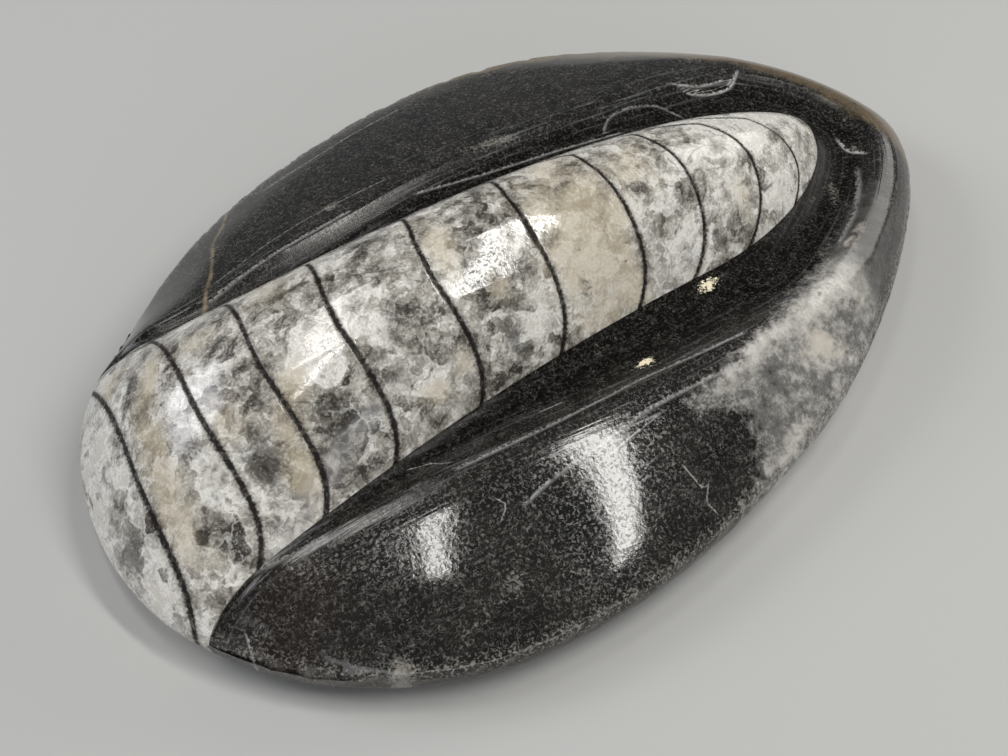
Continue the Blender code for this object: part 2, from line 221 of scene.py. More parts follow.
# the weathered rind along the far rim, out past the stone
RIND_OUTLINE = (
    (0, 36), (14, 35.2), (26.1, 32), (35.6, 25.3), (42.8, 18.6), (49.2, 9.8), (51.6, -0.7), (52.2, -5.5),
    (60, -8), (62, 10), (50, 30), (30, 42), (5, 42),
)
RIND_EDGE = (-1, 1.4)
# where the speckled band inside the rim fades, from the rim inwards and upwards, and how far below the
# rim the shell's wall is dull
RIM_BAND, RIM_TOP, LOW_WALL = (0.3, 2.2), (-0.15, 0.15), (0.6, 2.0)
# shell debris and grinding marks, and one painted highlight along the ridge beside the apex: points, width
# and strength
PALE_LINES_AND_RIDGE_HIGHLIGHT = (
    (((-31.7, -15), (-29, -15.6), (-26.3, -15.8)), 0.7, 0.5),
    (((-12, -16.9), (-3.9, -17.5), (1.5, -17.6), (6.8, -17.5), (12.5, -17.9), (18, -18.2)), 0.3, 0.6),
    (((-8.8, -22.4), (-4.9, -21.7), (-0.7, -21.4), (4.6, -20.7), (10.4, -20.6), (16.2, -20.6)), 0.35, 0.6),
    (((0.6, -22.3), (5.7, -21.5)), 0.16, 0.8),
    (((-21.6, 15.3), (-16.3, 16.2), (-11.3, 16.8), (-5.5, 17.3)), 0.35, 0.7),
    (((-20, 17.2), (-14, 18.6), (-8, 19.4), (0, 19.6)), 0.14, 0.5),
    (((3, 16.3), (11.3, 15.2), (19.4, 14.4), (26, 13.6)), 0.25, 0.6),
    (((36.6, 16.5), (37.5, 14.9), (40.1, 13.9), (42.4, 13.9), (44, 14.9)), 0.34, 1),
    (((36.6, 16.6), (39.1, 15.4), (42.2, 15)), 0.3, 0.8),
    (((25.4, 14.7), (26.9, 15.8), (29.5, 16), (32.7, 15.1), (34.1, 13.1)), 0.3, 0.45),
    (((-8.8, 30.2), (-2, 31.3), (3, 32.3), (9, 33)), 0.2, 0.6),
    (((5.8, -26.6), (6.2, -27.8)), 0.14, 0.8),
    (((6.6, -28.6), (6.1, -29.2), (6.3, -29.7)), 0.14, 0.8),
    (((-2, -15.1), (-0.9, -15.2)), 0.14, 0.6),
    (((-11, -21.4), (-10.8, -21.8), (-11.3, -22.2)), 0.14, 0.8),
    (((-35.5, -18.6), (-35.7, -19.5)), 0.22, 0.9),
    (((-15.4, -13.7), (-14.1, -14.1), (-13.3, -14.9)), 0.12, 0.8),
    (((47.4, 0.4), (47.2, -1), (47.9, -2.2)), 0.4, 1),
    # a painted highlight along the ridge line beside the apex
    (((36.1, -12.4), (40, -10), (43.4, -7), (45.4, -4.6)), 0.5, 0.5),
)
BEIGE_VEIN = (
    (((-13.4, 31.2), (-15, 28), (-17.7, 24.7), (-19.5, 20.5), (-21.8, 16.6), (-22.9, 15)), 0.42, 1),
)
LINE_STEPS = 5
LINE_FADES, FAR_OFF = (0.45, 0.95), 9.0


def smooth_step(low, high, value):
    """0 below low, 1 above high, and a smooth rise between."""
    t = np.clip((value - low) / (high - low), 0.0, 1.0)
    return t * t * (3.0 - 2.0 * t)


def melt(a, b, height):
    """The lower of two heights, with the corner between them rounded off."""
    share = np.maximum(height - np.abs(a - b), 0.0) / height
    return np.minimum(a, b) - share * share * height / 4.0


def closed_curve(points, steps):
    """A closed Catmull-Rom curve through the points."""
    points = np.array(points, float)
    t = np.linspace(0.0, 1.0, steps, endpoint=False)[:, None]
    runs = []
    for i in range(len(points)):
        a, b, c, d = (points[(i + k) % len(points)] for k in (-1, 0, 1, 2))
        runs.append(b + 0.5 * t * (c - a + t * (2 * a - 5 * b + 4 * c - d + t * (3 * (b - c) + d - a))))
    return np.concatenate(runs)


RIM = closed_curve(RIM_OUTLINE, OUTLINE_STEPS)
MIDDLE = (RIM.min(axis=0) + RIM.max(axis=0)) / 2.0
RIM_TURNS = np.arctan2(RIM[:, 1] - MIDDLE[1], RIM[:, 0] - MIDDLE[0])
RIM_REACHES = np.linalg.norm(RIM - MIDDLE, axis=1)
TO_FRAME = np.array((-MIDDLE[0], -MIDDLE[1], -BASE_Z))


def place(points):
    """Points of the fossil's frame, in millimetres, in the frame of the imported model."""
    return (np.asarray(points) + TO_FRAME) * MM


def lift(points):
    """The other way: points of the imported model's frame back in the fossil's frame."""
    return np.asarray(points) / MM - TO_FRAME


def rim_reach(turn):
    return np.interp(turn, RIM_TURNS, RIM_REACHES, period=math.tau)


def distance_to(loop, x, y, chunk=8192):
    """Distance from each point to a closed line."""
    here = np.stack((np.ravel(x), np.ravel(y)), axis=1)
    step = np.roll(loop, -1, axis=0) - loop
    lengths = (step * step).sum(axis=1)
    found = np.empty(len(here))
    for start in range(0, len(here), chunk):
        way = here[start:start + chunk, None, :] - loop
        along = np.clip((way * step).sum(axis=2) / lengths, 0.0, 1.0)
        way = way - step * along[..., None]
        found[start:start + chunk] = np.sqrt((way * way).sum(axis=2).min(axis=1))
    return found.reshape(np.shape(x))


def rim_height(x, y):
    return RIM_Z + RIM_RISE_X * x + RIM_RISE_Y * y


def channel_floor(x):
    return -CHANNEL_SAG * ((x - CHANNEL_MIDDLE) / CHANNEL_HALF) ** 2


def channel_width(x):
    return CHANNEL_NARROW + (CHANNEL_WIDE - CHANNEL_NARROW) * smooth_step(*CHANNEL_OPENS, x)


def nose(x):
    """0 along the straight shell, rising to 1 at the apex."""
    return np.clip((x - NOSE_START) / (APEX - NOSE_START), 0.0, 1.0)


def shell_axis(x):
    return APEX_BEND * nose(x) ** 2


def shell_half_width(x):
    width = HALF_WIDTH - TAPER * x + TAPER_CURVE * x * x
    return width * np.sqrt(1.0 - nose(x) ** NOSE_WIDTH_POWER)


def shell_height(x):
    """Height of the crest above the channel floor."""
    crest = CREST + CREST_SLOPE * x - CREST_CURVE * x * x
    return (crest - channel_floor(x)) * np.sqrt(1.0 - nose(x) ** NOSE_HEIGHT_POWER)


def shell_share(x, y):
    """How far across the shell a point lies: -1 at the near edge, 1 at the far one."""
    return (y - shell_axis(x)) / np.maximum(shell_half_width(x), LEAST_HALF_WIDTH)


def shell_edge():
    """The closed line where the shell meets the channel, seen from above."""
    straight = np.linspace(WIDE_END, NOSE_START, EDGE_STEPS)
    xs = np.concatenate((straight, np.linspace(NOSE_START, APEX, EDGE_STEPS)[1:]))
    near = np.stack((xs, shell_axis(xs) - shell_half_width(xs)), axis=1)
    far = np.stack((xs, shell_axis(xs) + shell_half_width(xs)), axis=1)
    return np.concatenate((near, far[-2::-1]))


SHELL_EDGE = shell_edge()


def channel_split(x, y):
    """Distance from the shell, the whole way from it to the rim, and the channel's share of it."""
    from_shell = distance_to(SHELL_EDGE, x, y)
    way = from_shell + distance_to(RIM, x, y)
    return from_shell, way, np.minimum(channel_width(x), CHANNEL_SHARE * way)


def ground_share(x, y):
    """0 under the shell, up to 1 across the channel and on to 2 across the wing."""
    in_shell = (x < APEX) & (np.abs(shell_share(x, y)) < 1.0)
    from_shell, way, width = channel_split(x, y)
    beyond = 1.0 + (from_shell - width) / (way - width)
    return np.where(in_shell, 0.0, np.where(from_shell < width, from_shell / width, beyond))


def ground_height(x, y):
    """The polished limestone beside the shell: a channel, its ridge and a convex wing."""
    floor = channel_floor(x)
    share = ground_share(x, y)
    relief = np.minimum(channel_width(x) / CHANNEL_FULL, 1.0)
    channel = floor + relief * (RIDGE_RISE * share ** 2 - 4.0 * CHANNEL_DIP * share * (1.0 - share))
    curve = WING_CURVE + WING_CURVE_MORE * smooth_step(*WING_CHANGES, x)
    ridge = floor + relief * RIDGE_RISE
    lip = rim_height(x, y) + RIM_LIP
    wing = ridge + (lip - ridge) * np.maximum(share - 1.0, 0.0) ** curve
    return np.where(share < 1.0, channel, wing)


def shoulder_height(x, y):
    """The surface that rounds off whatever reaches the rim; past the rim it falls away."""
    turn = np.arctan2(y - MIDDLE[1], x - MIDDLE[0])
    inside = np.hypot(x - MIDDLE[0], y - MIDDLE[1]) < rim_reach(turn)
    climb = SHOULDER * distance_to(RIM, x, y) ** SHOULDER_POWER
    return rim_height(x, y) + np.where(inside, climb, -climb)


def skirt(x, y, ground):
    """The ground as it rounds off towards the rim: softly at the wide end, sharply elsewhere."""
    blend = SKIRT_BLENDS[0] + (SKIRT_BLENDS[1] - SKIRT_BLENDS[0]) * smooth_step(*SKIRT_CHANGES, x)
    return melt(ground, shoulder_height(x, y), blend)


def suture(number, u):
    """Where a suture lies along the shell, at u from -1 at the near edge to 1 at the far edge."""
    crossing, lean, bow, turn = SUTURES[number]
    level = melt(u, LEVEL_SHARE, LEVEL_BLEND)
    hook = NEAR_HOOK * np.maximum(-u, 0.0) ** NEAR_HOOK_POWER
    back = FAR_BACK * (1.0 - np.exp(-((np.maximum(u - turn, 0.0) / FAR_TURN) ** 2)))
    return crossing + lean * level - bow * level * level - hook - back


def arch(x, u):
    """Cross-section of the shell, 1 at the crest and 0 at its edges, with the flat ground facet."""
    full = 1.0 - np.abs(u) ** ARCH_POWER
    low = FACET_EDGE + FACET_EDGE_SLOPE * np.minimum(x - FACET_EDGE_X, 0.0)
    width = FACET_WIDTH * (1.0 - smooth_step(*FACET_FADES, x)) + LEAST_FACET
    high = low + width
    low_arch = 1.0 - np.abs(low) ** ARCH_POWER
    high_arch = 1.0 - np.abs(high) ** ARCH_POWER
    chord = low_arch + (high_arch - low_arch) * (u - low) / width
    return np.where((u > low) & (u < high), chord, full)


def wrapped_body(name, rings, poles):
    """A closed mesh of rings of points, from the first pole to the last."""
    count, segments = rings.shape[:2]
    points = np.concatenate((poles[:1], rings.reshape(-1, 3), poles[1:]))
    ids = 1 + np.arange(count * segments).reshape(count, segments)
    after = np.roll(ids, -1, axis=1)
    last = len(points) - 1
    faces = [(0, b, a) for a, b in zip(ids[0].tolist(), after[0].tolist())]
    quads = np.stack((ids[:-1], after[:-1], after[1:], ids[1:]), axis=-1).reshape(-1, 4)
    faces += quads.tolist()
    faces += [(last, a, b) for a, b in zip(ids[-1].tolist(), after[-1].tolist())]
    mesh = bpy.data.meshes.new(name)
    mesh.from_pydata(place(points).tolist(), [], faces)
    mesh.validate()
    body = bpy.data.objects.new(name, mesh)
    bpy.context.scene.collection.objects.link(body)
    face_outwards(body)
    return body


def face_outwards(body):
    shape = bmesh.new()
    shape.from_mesh(body.data)
    bmesh.ops.recalc_face_normals(shape, faces=shape.faces)
    if shape.calc_volume(signed=True) < 0.0:
        bmesh.ops.reverse_faces(shape, faces=shape.faces)
    shape.to_mesh(body.data)
    shape.free()


def stone_body(name, top):
    """The whole stone under the given top surface, with its rounded wall and flat base."""
    turns = np.linspace(0.0, math.tau, STONE_SEGMENTS, endpoint=False)
    rim = rim_reach(turns)
    away = np.stack((np.cos(turns), np.sin(turns)))
    shares = np.linspace(0.0, 1.0, REACH_SAMPLES)
    x = MIDDLE[0] + away[0][:, None] * rim[:, None] * shares
    y = MIDDLE[1] + away[1][:, None] * rim[:, None] * shares
    steps = RIM_CROWDING * np.arcsin(shares) / math.asin(1.0) + ground_share(x, y)
    steps = np.maximum.accumulate(steps, axis=1)
    even = np.linspace(1.0, 0.0, TOP_RINGS + 1)[:-1]
    reaches = np.stack([r * np.interp(even * s[-1], s, shares) for r, s in zip(rim, steps)], axis=1)

    rings = []
    for k in range(1, BASE_RINGS + 1):
        reach = (rim - BASE_INSET) * k / BASE_RINGS
        x, y = MIDDLE[0] + away[0] * reach, MIDDLE[1] + away[1] * reach
        rings.append(np.stack((x, y, np.full_like(x, BASE_Z)), axis=1))
    for k in range(1, WALL_RINGS):
        rise = (1.0 - k / WALL_RINGS) * math.pi / 2.0
        reach = rim - BASE_INSET * (1.0 - math.cos(rise))
        x, y = MIDDLE[0] + away[0] * reach, MIDDLE[1] + away[1] * reach
        lip = rim_height(x, y)
        rings.append(np.stack((x, y, lip + math.sin(rise) * (BASE_Z - lip)), axis=1))
    for k, reach in enumerate(reaches):
        x, y = MIDDLE[0] + away[0] * reach, MIDDLE[1] + away[1] * reach
        rings.append(np.stack((x, y, top(x, y) if k else rim_height(x, y)), axis=1))
    poles = np.array([(*MIDDLE, BASE_Z), (*MIDDLE, float(top(*MIDDLE)))])
    return wrapped_body(name, np.array(rings), poles)


def shell_rows(u):
    """The shell's rows of points as x at each u: close together at the sutures' grooves."""
    count = len(SUTURES)
    lines = [np.full_like(u, WIDE_END)] + [suture(n, u) for n in range(count)] + [np.full_like(u, APEX)]
    rows = [lines[0]]
    for n in range(count + 1):
        low = lines[n] + (GROOVE_REACH if n > 0 else 0.0)
        high = lines[n + 1] - (GROOVE_REACH if n < count else 0.0)
        steps = END_ROWS if n == 0 else NOSE_ROWS if n == count else CHAMBER_ROWS
        power = NOSE_CROWDING if n == count else 1.0
        rows += [low + (high - low) * (k / steps) ** power for k in range(1, steps)]
        if n < count:
            rows += [lines[n + 1] + off for off in np.linspace(-GROOVE_REACH, GROOVE_REACH, GROOVE_ROWS)]
    return rows


def shell_body(name, polished):
    """The whole conical shell; the polished one rounds off where it runs out over the rim."""
    over = np.linspace(0.0, math.pi, SHELL_TOP_STEPS, endpoint=False)
    under = np.linspace(math.pi, math.tau, SHELL_UNDER_STEPS, endpoint=False)
    turns = np.concatenate((over, under))
    u = np.cos(turns)
    rings = []
    for x in shell_rows(u):
        half = shell_half_width(x)
        y = shell_axis(x) + u * half
        floor = channel_floor(x)
        edge = skirt(x, shell_axis(x) + np.copysign(half, u), floor)
        above = floor + shell_height(x) * arch(x, u)
        if polished:
            above = melt(above, shoulder_height(x, y), SHOULDER_BLEND)
        below = edge + half * np.sin(turns)
        z = np.where(np.arange(len(turns)) <= SHELL_TOP_STEPS, np.maximum(above, edge), below)
        rings.append(np.stack((x, y, z), axis=1))
    poles = np.array([(WIDE_END, 0.0, float(shoulder_height(WIDE_END, 0.0))),
                      (APEX, APEX_BEND, channel_floor(APEX))])
    return wrapped_body(name, np.array(rings), poles)


def baked(body, name):
    """The body as its modifiers leave it, as a plain mesh; the body itself is removed."""
    bpy.context.view_layer.update()
    shaped = body.evaluated_get(bpy.context.evaluated_depsgraph_get())
    mesh = bpy.data.meshes.new_from_object(shaped)
    bpy.data.objects.remove(body)
    mesh.name = name
    made = bpy.data.objects.new(name, mesh)
    bpy.context.scene.collection.objects.link(made)
    return made


def cut(body, operation, cutter, name):
    modifier = body.modifiers.new("cut", "BOOLEAN")
    modifier.operation = operation
    modifier.solver = "EXACT"
    modifier.object = cutter
    made = baked(body, name)
    bpy.data.objects.remove(cutter)
    return made


def soft_spots(a, b, spots):
    """Sum of soft elliptical spots, up to 1."""
    total = np.zeros_like(a)
    for at_a, at_b, length, width, turn, strength in spots:
        c, s = math.cos(math.radians(turn)), math.sin(math.radians(turn))
        along = (c * (a - at_a) + s * (b - at_b)) / length
        across = (c * (b - at_b) - s * (a - at_a)) / width
        total += strength * np.exp(-(along ** 2 + across ** 2))
    return np.clip(total, 0.0, 1.0)


def open_curve(points, steps):
    """A Catmull-Rom curve from the first point to the last."""
    points = np.array(points, float)
    ends = np.concatenate((2.0 * points[:1] - points[1:2], points, 2.0 * points[-1:] - points[-2:-1]))
    t = np.linspace(0.0, 1.0, steps, endpoint=False)[:, None]
    runs = [b + 0.5 * t * (c - a + t * (2 * a - 5 * b + 4 * c - d + t * (3 * (b - c) + d - a)))
            for a, b, c, d in zip(ends, ends[1:], ends[2:], ends[3:])]
    return np.concatenate(runs + [points[-1:]])


def near_lines(a, b, lines):
    """Signed offset from the nearest drawn line, in its widths, and how strong the line is there."""
    nearest = np.full_like(a, np.inf)
    offset = np.full_like(a, FAR_OFF)
    strength = np.zeros_like(a)
    for points, width, force in lines:
        route = open_curve(points, LINE_STEPS)
        for start, end in zip(route, route[1:]):
            way = (end - start) / np.linalg.norm(end - start)
            along = (a - start[0]) * way[0] + (b - start[1]) * way[1]
            side = (a - start[0]) * way[1] - (b - start[1]) * way[0]
            past = along - np.clip(along, 0.0, np.linalg.norm(end - start))
            away = np.hypot(side, past)
            closer = away < nearest
            nearest = np.where(closer, away, nearest)
            offset = np.where(closer, side / width, offset)
            strength = np.where(closer, force * (1.0 - smooth_step(*LINE_FADES, away)), strength)
    return offset, strength


def depth_inside(loop, x, y):
    """How far inside a closed line each point lies; negative outside it."""
    inside = np.zeros(np.shape(x), bool)
    for (ax, ay), (bx, by) in zip(loop, np.roll(loop, -1, axis=0)):
        if ay != by:
            inside ^= ((ay > y) != (by > y)) & (x < ax + (bx - ax) * (y - ay) / (by - ay))
    return np.where(inside, 1.0, -1.0) * distance_to(loop, x, y)


def to_septum(x, u):
    """Distance to the nearest suture, measured square to it."""
    way = np.hypot(shell_half_width(x), shell_height(x) * ARCH_POWER * np.abs(u) ** (ARCH_POWER - 1.0))
    nearest = np.full_like(x, np.inf)
    for n in range(len(SUTURES)):
        change = suture(n, u + SLOPE_STEP) - suture(n, u - SLOPE_STEP)
        slope = change / (2.0 * SLOPE_STEP * np.maximum(way, LEAST_WAY))
        nearest = np.minimum(nearest, np.abs(x - suture(n, u)) / np.hypot(1.0, slope))
    return nearest


def point_places(mesh):
    """The mesh's points in the fossil's frame."""
    points = np.empty(len(mesh.vertices) * 3)
    mesh.vertices.foreach_get("co", points)
    return lift(points.reshape(-1, 3)).T


def store(mesh, **values):
    """Named values for each point of the mesh, for its trees and its material."""
    for name, value in values.items():
        attribute = mesh.attributes.new(name, "FLOAT", "POINT")
        attribute.data.foreach_set("value", np.asarray(value, np.float32))


def linear(hex_colour):
    """An sRGB hex colour as linear RGBA."""
    values = [int(hex_colour[i:i + 2], 16) / 255.0 for i in (1, 3, 5)]
    return [v / 12.92 if v <= 0.04045 else ((v + 0.055) / 1.055) ** 2.4 for v in values] + [1.0]


def add(tree, kind, links=None, stops=(), **settings):
    """Adds a node with its settings, inputs (sockets, values or hex colours) and colour stops.

    Gives back the node's outputs.
    """
    made = tree.nodes.new(kind)
    for name, value in settings.items():
        setattr(made, name, value)
    for name, value in (links or {}).items():
        if isinstance(value, bpy.types.NodeSocket):
            tree.links.new(value, made.inputs[name])
        else:
            made.inputs[name].default_value = linear(value) if str(value).startswith("#") else value
    for n, (position, colour) in enumerate(stops):
        stop = made.color_ramp.elements[n] if n < 2 else made.color_ramp.elements.new(1.0)
        stop.position = position
        stop.color = linear(colour)
    made.location = (200.0 * (len(tree.nodes) % 8), -220.0 * (len(tree.nodes) // 8))
    return made.outputs


def new_tree(name, *sizes):
    """A Geometry Nodes tree on one body, with named sizes in metres and a material."""
    tree = bpy.data.node_groups.new(name, "GeometryNodeTree")
    tree.interface.new_socket("Geometry", in_out="INPUT", socket_type="NodeSocketGeometry")
    tree.interface.new_socket("Geometry", in_out="OUTPUT", socket_type="NodeSocketGeometry")
    for label in sizes:
        socket = tree.interface.new_socket(label, in_out="INPUT", socket_type="NodeSocketFloat")
        socket.subtype = "DISTANCE"
    tree.interface.new_socket("Material", in_out="INPUT", socket_type="NodeSocketMaterial")
    return tree


def finish_tree(tree, geometry, mask_name, mask, depth, given):
    """Stores the mask, moves the surface in by the depth plus slow polished waves, sets the material."""
    position = add(tree, "GeometryNodeInputPosition")[0]
    waves = add(tree, NOISE, {"Vector": position, "Scale": 1.0 / WAVE_LENGTH, "Detail": 1.0})
    swell = add(tree, MATH, {0: waves[0], 1: 0.5}, operation="SUBTRACT")
    swell = add(tree, MATH, {0: swell[0], 1: given["Waviness"]}, operation="MULTIPLY")
    rise = add(tree, MATH, {0: swell[0], 1: depth}, operation="SUBTRACT")
    normal = add(tree, "GeometryNodeInputNormal")[0]
    offset = add(tree, VECTOR_MATH, {0: normal, "Scale": rise[0]}, operation="SCALE")
    stored = add(tree, "GeometryNodeStoreNamedAttribute", {
        "Geometry": geometry, "Name": mask_name, "Value": mask}, data_type="FLOAT", domain="POINT")
    moved = add(tree, "GeometryNodeSetPosition", {"Geometry": stored[0], "Offset": offset[0]})
    real = add(tree, "GeometryNodeRealizeInstances", {"Geometry": moved[0]})
    done = add(tree, "GeometryNodeSetMaterial", {"Geometry": real[0], "Material": given["Material"]})
    smooth = add(tree, "GeometryNodeSetShadeSmooth", {"Geometry": done[0]})
    add(tree, "NodeGroupOutput", {"Geometry": smooth[0]})
    return tree


def septa_tree():
    """Cuts a ragged groove along each suture."""
    tree = new_tree("septa", "Septum Width", "Groove Depth", "Raggedness", "Waviness")
    given = add(tree, "NodeGroupInput")
    position = add(tree, "GeometryNodeInputPosition")[0]
    distance = add(tree, STORED, {"Name": "to_septum"}, data_type="FLOAT")[0]
    grain = add(tree, NOISE, {"Vector": position, "Scale": 1.0 / GRAIN_SIZE, "Detail": 3.0})
    rough = add(tree, MATH, {0: grain[0], 1: 0.5}, operation="SUBTRACT")
    ragged = add(tree, MATH, {0: rough[0], 1: given["Raggedness"], 2: distance}, operation="MULTIPLY_ADD")
    edge = add(tree, MATH, {0: given["Septum Width"], 1: 0.5}, operation="MULTIPLY")
    core = add(tree, MATH, {0: given["Septum Width"], 1: 0.25}, operation="MULTIPLY")
    mask = add(tree, RANGE, {"Value": ragged[0], "From Min": edge[0], "From Max": core[0]},
               interpolation_type="SMOOTHSTEP")
    depth = add(tree, MATH, {0: mask[0], 1: given["Groove Depth"]}, operation="MULTIPLY")
    return finish_tree(tree, given["Geometry"], "septum", mask[0], depth[0], given)


def rim_tree():
    """Chips the stone along its sharp rim."""
    tree = new_tree("rim_wear", "Chip Size", "Chip Depth", "Chip Band", "Waviness")
    given = add(tree, "NodeGroupInput")
    position = add(tree, "GeometryNodeInputPosition")[0]
    distance = add(tree, STORED, {"Name": "to_rim"}, data_type="FLOAT")[0]
    per_metre = add(tree, MATH, {0: 1.0, 1: given["Chip Size"]}, operation="DIVIDE")
    grain = add(tree, NOISE, {"Vector": position, "Scale": per_metre[0], "Detail": 2.0})
    hollow = add(tree, RANGE, {"Value": grain[0], "From Min": 0.5, "From Max": 0.65})
    near = add(tree, RANGE, {"Value": distance, "From Min": given["Chip Band"], "From Max": 0.0})
    mask = add(tree, MATH, {0: hollow[0], 1: near[0]}, operation="MULTIPLY")
    depth = add(tree, MATH, {0: mask[0], 1: given["Chip Depth"]}, operation="MULTIPLY")
    return finish_tree(tree, given["Geometry"], "chip", mask[0], depth[0], given)


def worked(body, tree, name, **values):
    """The body after a tree with each of its inputs set by its label, as a plain mesh."""
    modifier = body.modifiers.new(tree.name, "NODES")
    modifier.node_group = tree
    for item in tree.interface.items_tree:
        key = item.name.lower().replace(" ", "_")
        if key in values:
            modifier[item.identifier] = values[key]
    return baked(body, name)


def new_material(name, *values):
    """A node material, its shader, the place in the fossil's frame in millimetres, and stored values."""
    made = bpy.data.materials.new(name)
    made.use_nodes = True
    tree = made.node_tree
    where = add(tree, "ShaderNodeTexCoord")["Object"]
    at = add(tree, "ShaderNodeMapping", {"Vector": where, "Location": (MIDDLE[0], MIDDLE[1], BASE_Z),
                                         "Scale": (1.0 / MM, 1.0 / MM, 1.0 / MM)})[0]
    stored = {value: add(tree, "ShaderNodeAttribute", attribute_name=value)["Fac"] for value in values}
    return made, tree, tree.nodes["Principled BSDF"], at, stored


def weighted(tree, total, *terms):
    """A total plus each pattern times its weight."""
    for pattern, weight in terms:
        total = add(tree, MATH, {0: pattern, 1: weight, 2: total}, operation="MULTIPLY_ADD")[0]
    return total


def layered(tree, colour, *layers):
    """Colours laid over each other, each by its share of the surface."""
    for share, over in layers:
        colour = add(tree, MIX, {0: share, 6: colour, 7: over}, data_type="RGBA", clamp_factor=True)[2]
    return colour


def patchy(tree, spot, grain, low, high, strength):
    """A spot broken up by a grain: it shows where the grain is high or the spot is strong."""
    shown = add(tree, RANGE, {"Value": weighted(tree, grain, (spot, 0.5)), "From Min": low, "From Max": high,
                              "To Max": strength}, interpolation_type="SMOOTHSTEP")[0]
    near = add(tree, MATH, {0: spot, 1: 4.0}, operation="MULTIPLY", use_clamp=True)[0]
    return add(tree, MATH, {0: shown, 1: near}, operation="MULTIPLY")[0]


def crossing(tree, pattern, middle, width, grain, strength):
    """A thin vein where a pattern crosses its middle value, broken up by a grain."""
    way = add(tree, MATH, {0: pattern, 1: middle}, operation="SUBTRACT")[0]
    way = add(tree, MATH, {0: way}, operation="ABSOLUTE")[0]
    vein = add(tree, RANGE, {"Value": way, "From Min": width, "From Max": 0.0})[0]
    broken = add(tree, RANGE, {"Value": grain, "From Min": 0.42, "From Max": 0.58, "To Max": strength})[0]
    return add(tree, MATH, {0: vein, 1: broken}, operation="MULTIPLY")[0]


def drawn_line(tree, offset, strength, grain):
    """A drawn line's share of the surface, wobbled and broken up by the grain."""
    side = add(tree, MATH, {0: offset, 1: weighted(tree, -1.2, (grain, 2.4))}, operation="ADD")[0]
    away = add(tree, MATH, {0: side}, operation="ABSOLUTE")[0]
    shown = add(tree, RANGE, {"Value": away, "From Min": 0.75, "From Max": 0.1})[0]
    broken = add(tree, RANGE, {"Value": grain, "From Min": 0.3, "From Max": 0.6})[0]
    shown = add(tree, MATH, {0: shown, 1: broken}, operation="MULTIPLY")[0]
    return add(tree, MATH, {0: shown, 1: strength}, operation="MULTIPLY")[0]


